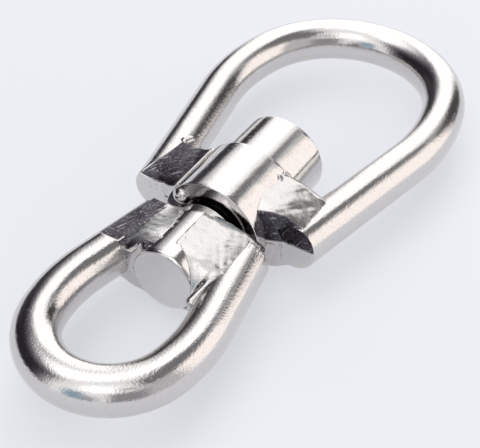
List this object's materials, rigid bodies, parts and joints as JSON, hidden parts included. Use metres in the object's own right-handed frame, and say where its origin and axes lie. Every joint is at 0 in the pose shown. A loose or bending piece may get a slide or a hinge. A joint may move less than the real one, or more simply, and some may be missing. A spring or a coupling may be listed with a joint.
{
  "type": "anchor swivel",
  "caption": "Welded eye-and-eye anchor swivel: a large bow on a bored collar and a small bow on a headed pin that turns in it.",
  "frame": {"origin": "on the swivel axis, midway between the far ends of the two bows", "axes": "+X along the swivel axis towards the large bow, +Y across in the plane of both bows, +Z square to the bows"},
  "size_m": [0.222, 0.0976, 0.037],
  "materials": {
    "polished_bar": "polished stainless bar with fine pits and scuffs",
    "turned_steel": "turned stainless, buffed bright",
    "weld_metal": "ground and wire-brushed stainless weld with heat tint"
  },
  "bodies": {
    "large_eye": {"large_bow": "polished_bar", "swivel_collar": "turned_steel", "large_weld_left_top": "weld_metal", "large_weld_left_under": "weld_metal", "large_weld_right_top": "weld_metal", "large_weld_right_under": "weld_metal"},
    "small_eye": {"swivel_pin": "turned_steel", "small_bow": "polished_bar", "small_weld_left_top": "weld_metal", "small_weld_left_under": "weld_metal", "small_weld_right_top": "weld_metal", "small_weld_right_under": "weld_metal"}
  },
  "joints": [
    {"name": "swivel_turn", "type": "hinge", "parent": "large_eye", "child": "small_eye", "pos_m": [0, 0, 0], "axis": [1, 0, 0], "continuous": true}
  ]
}
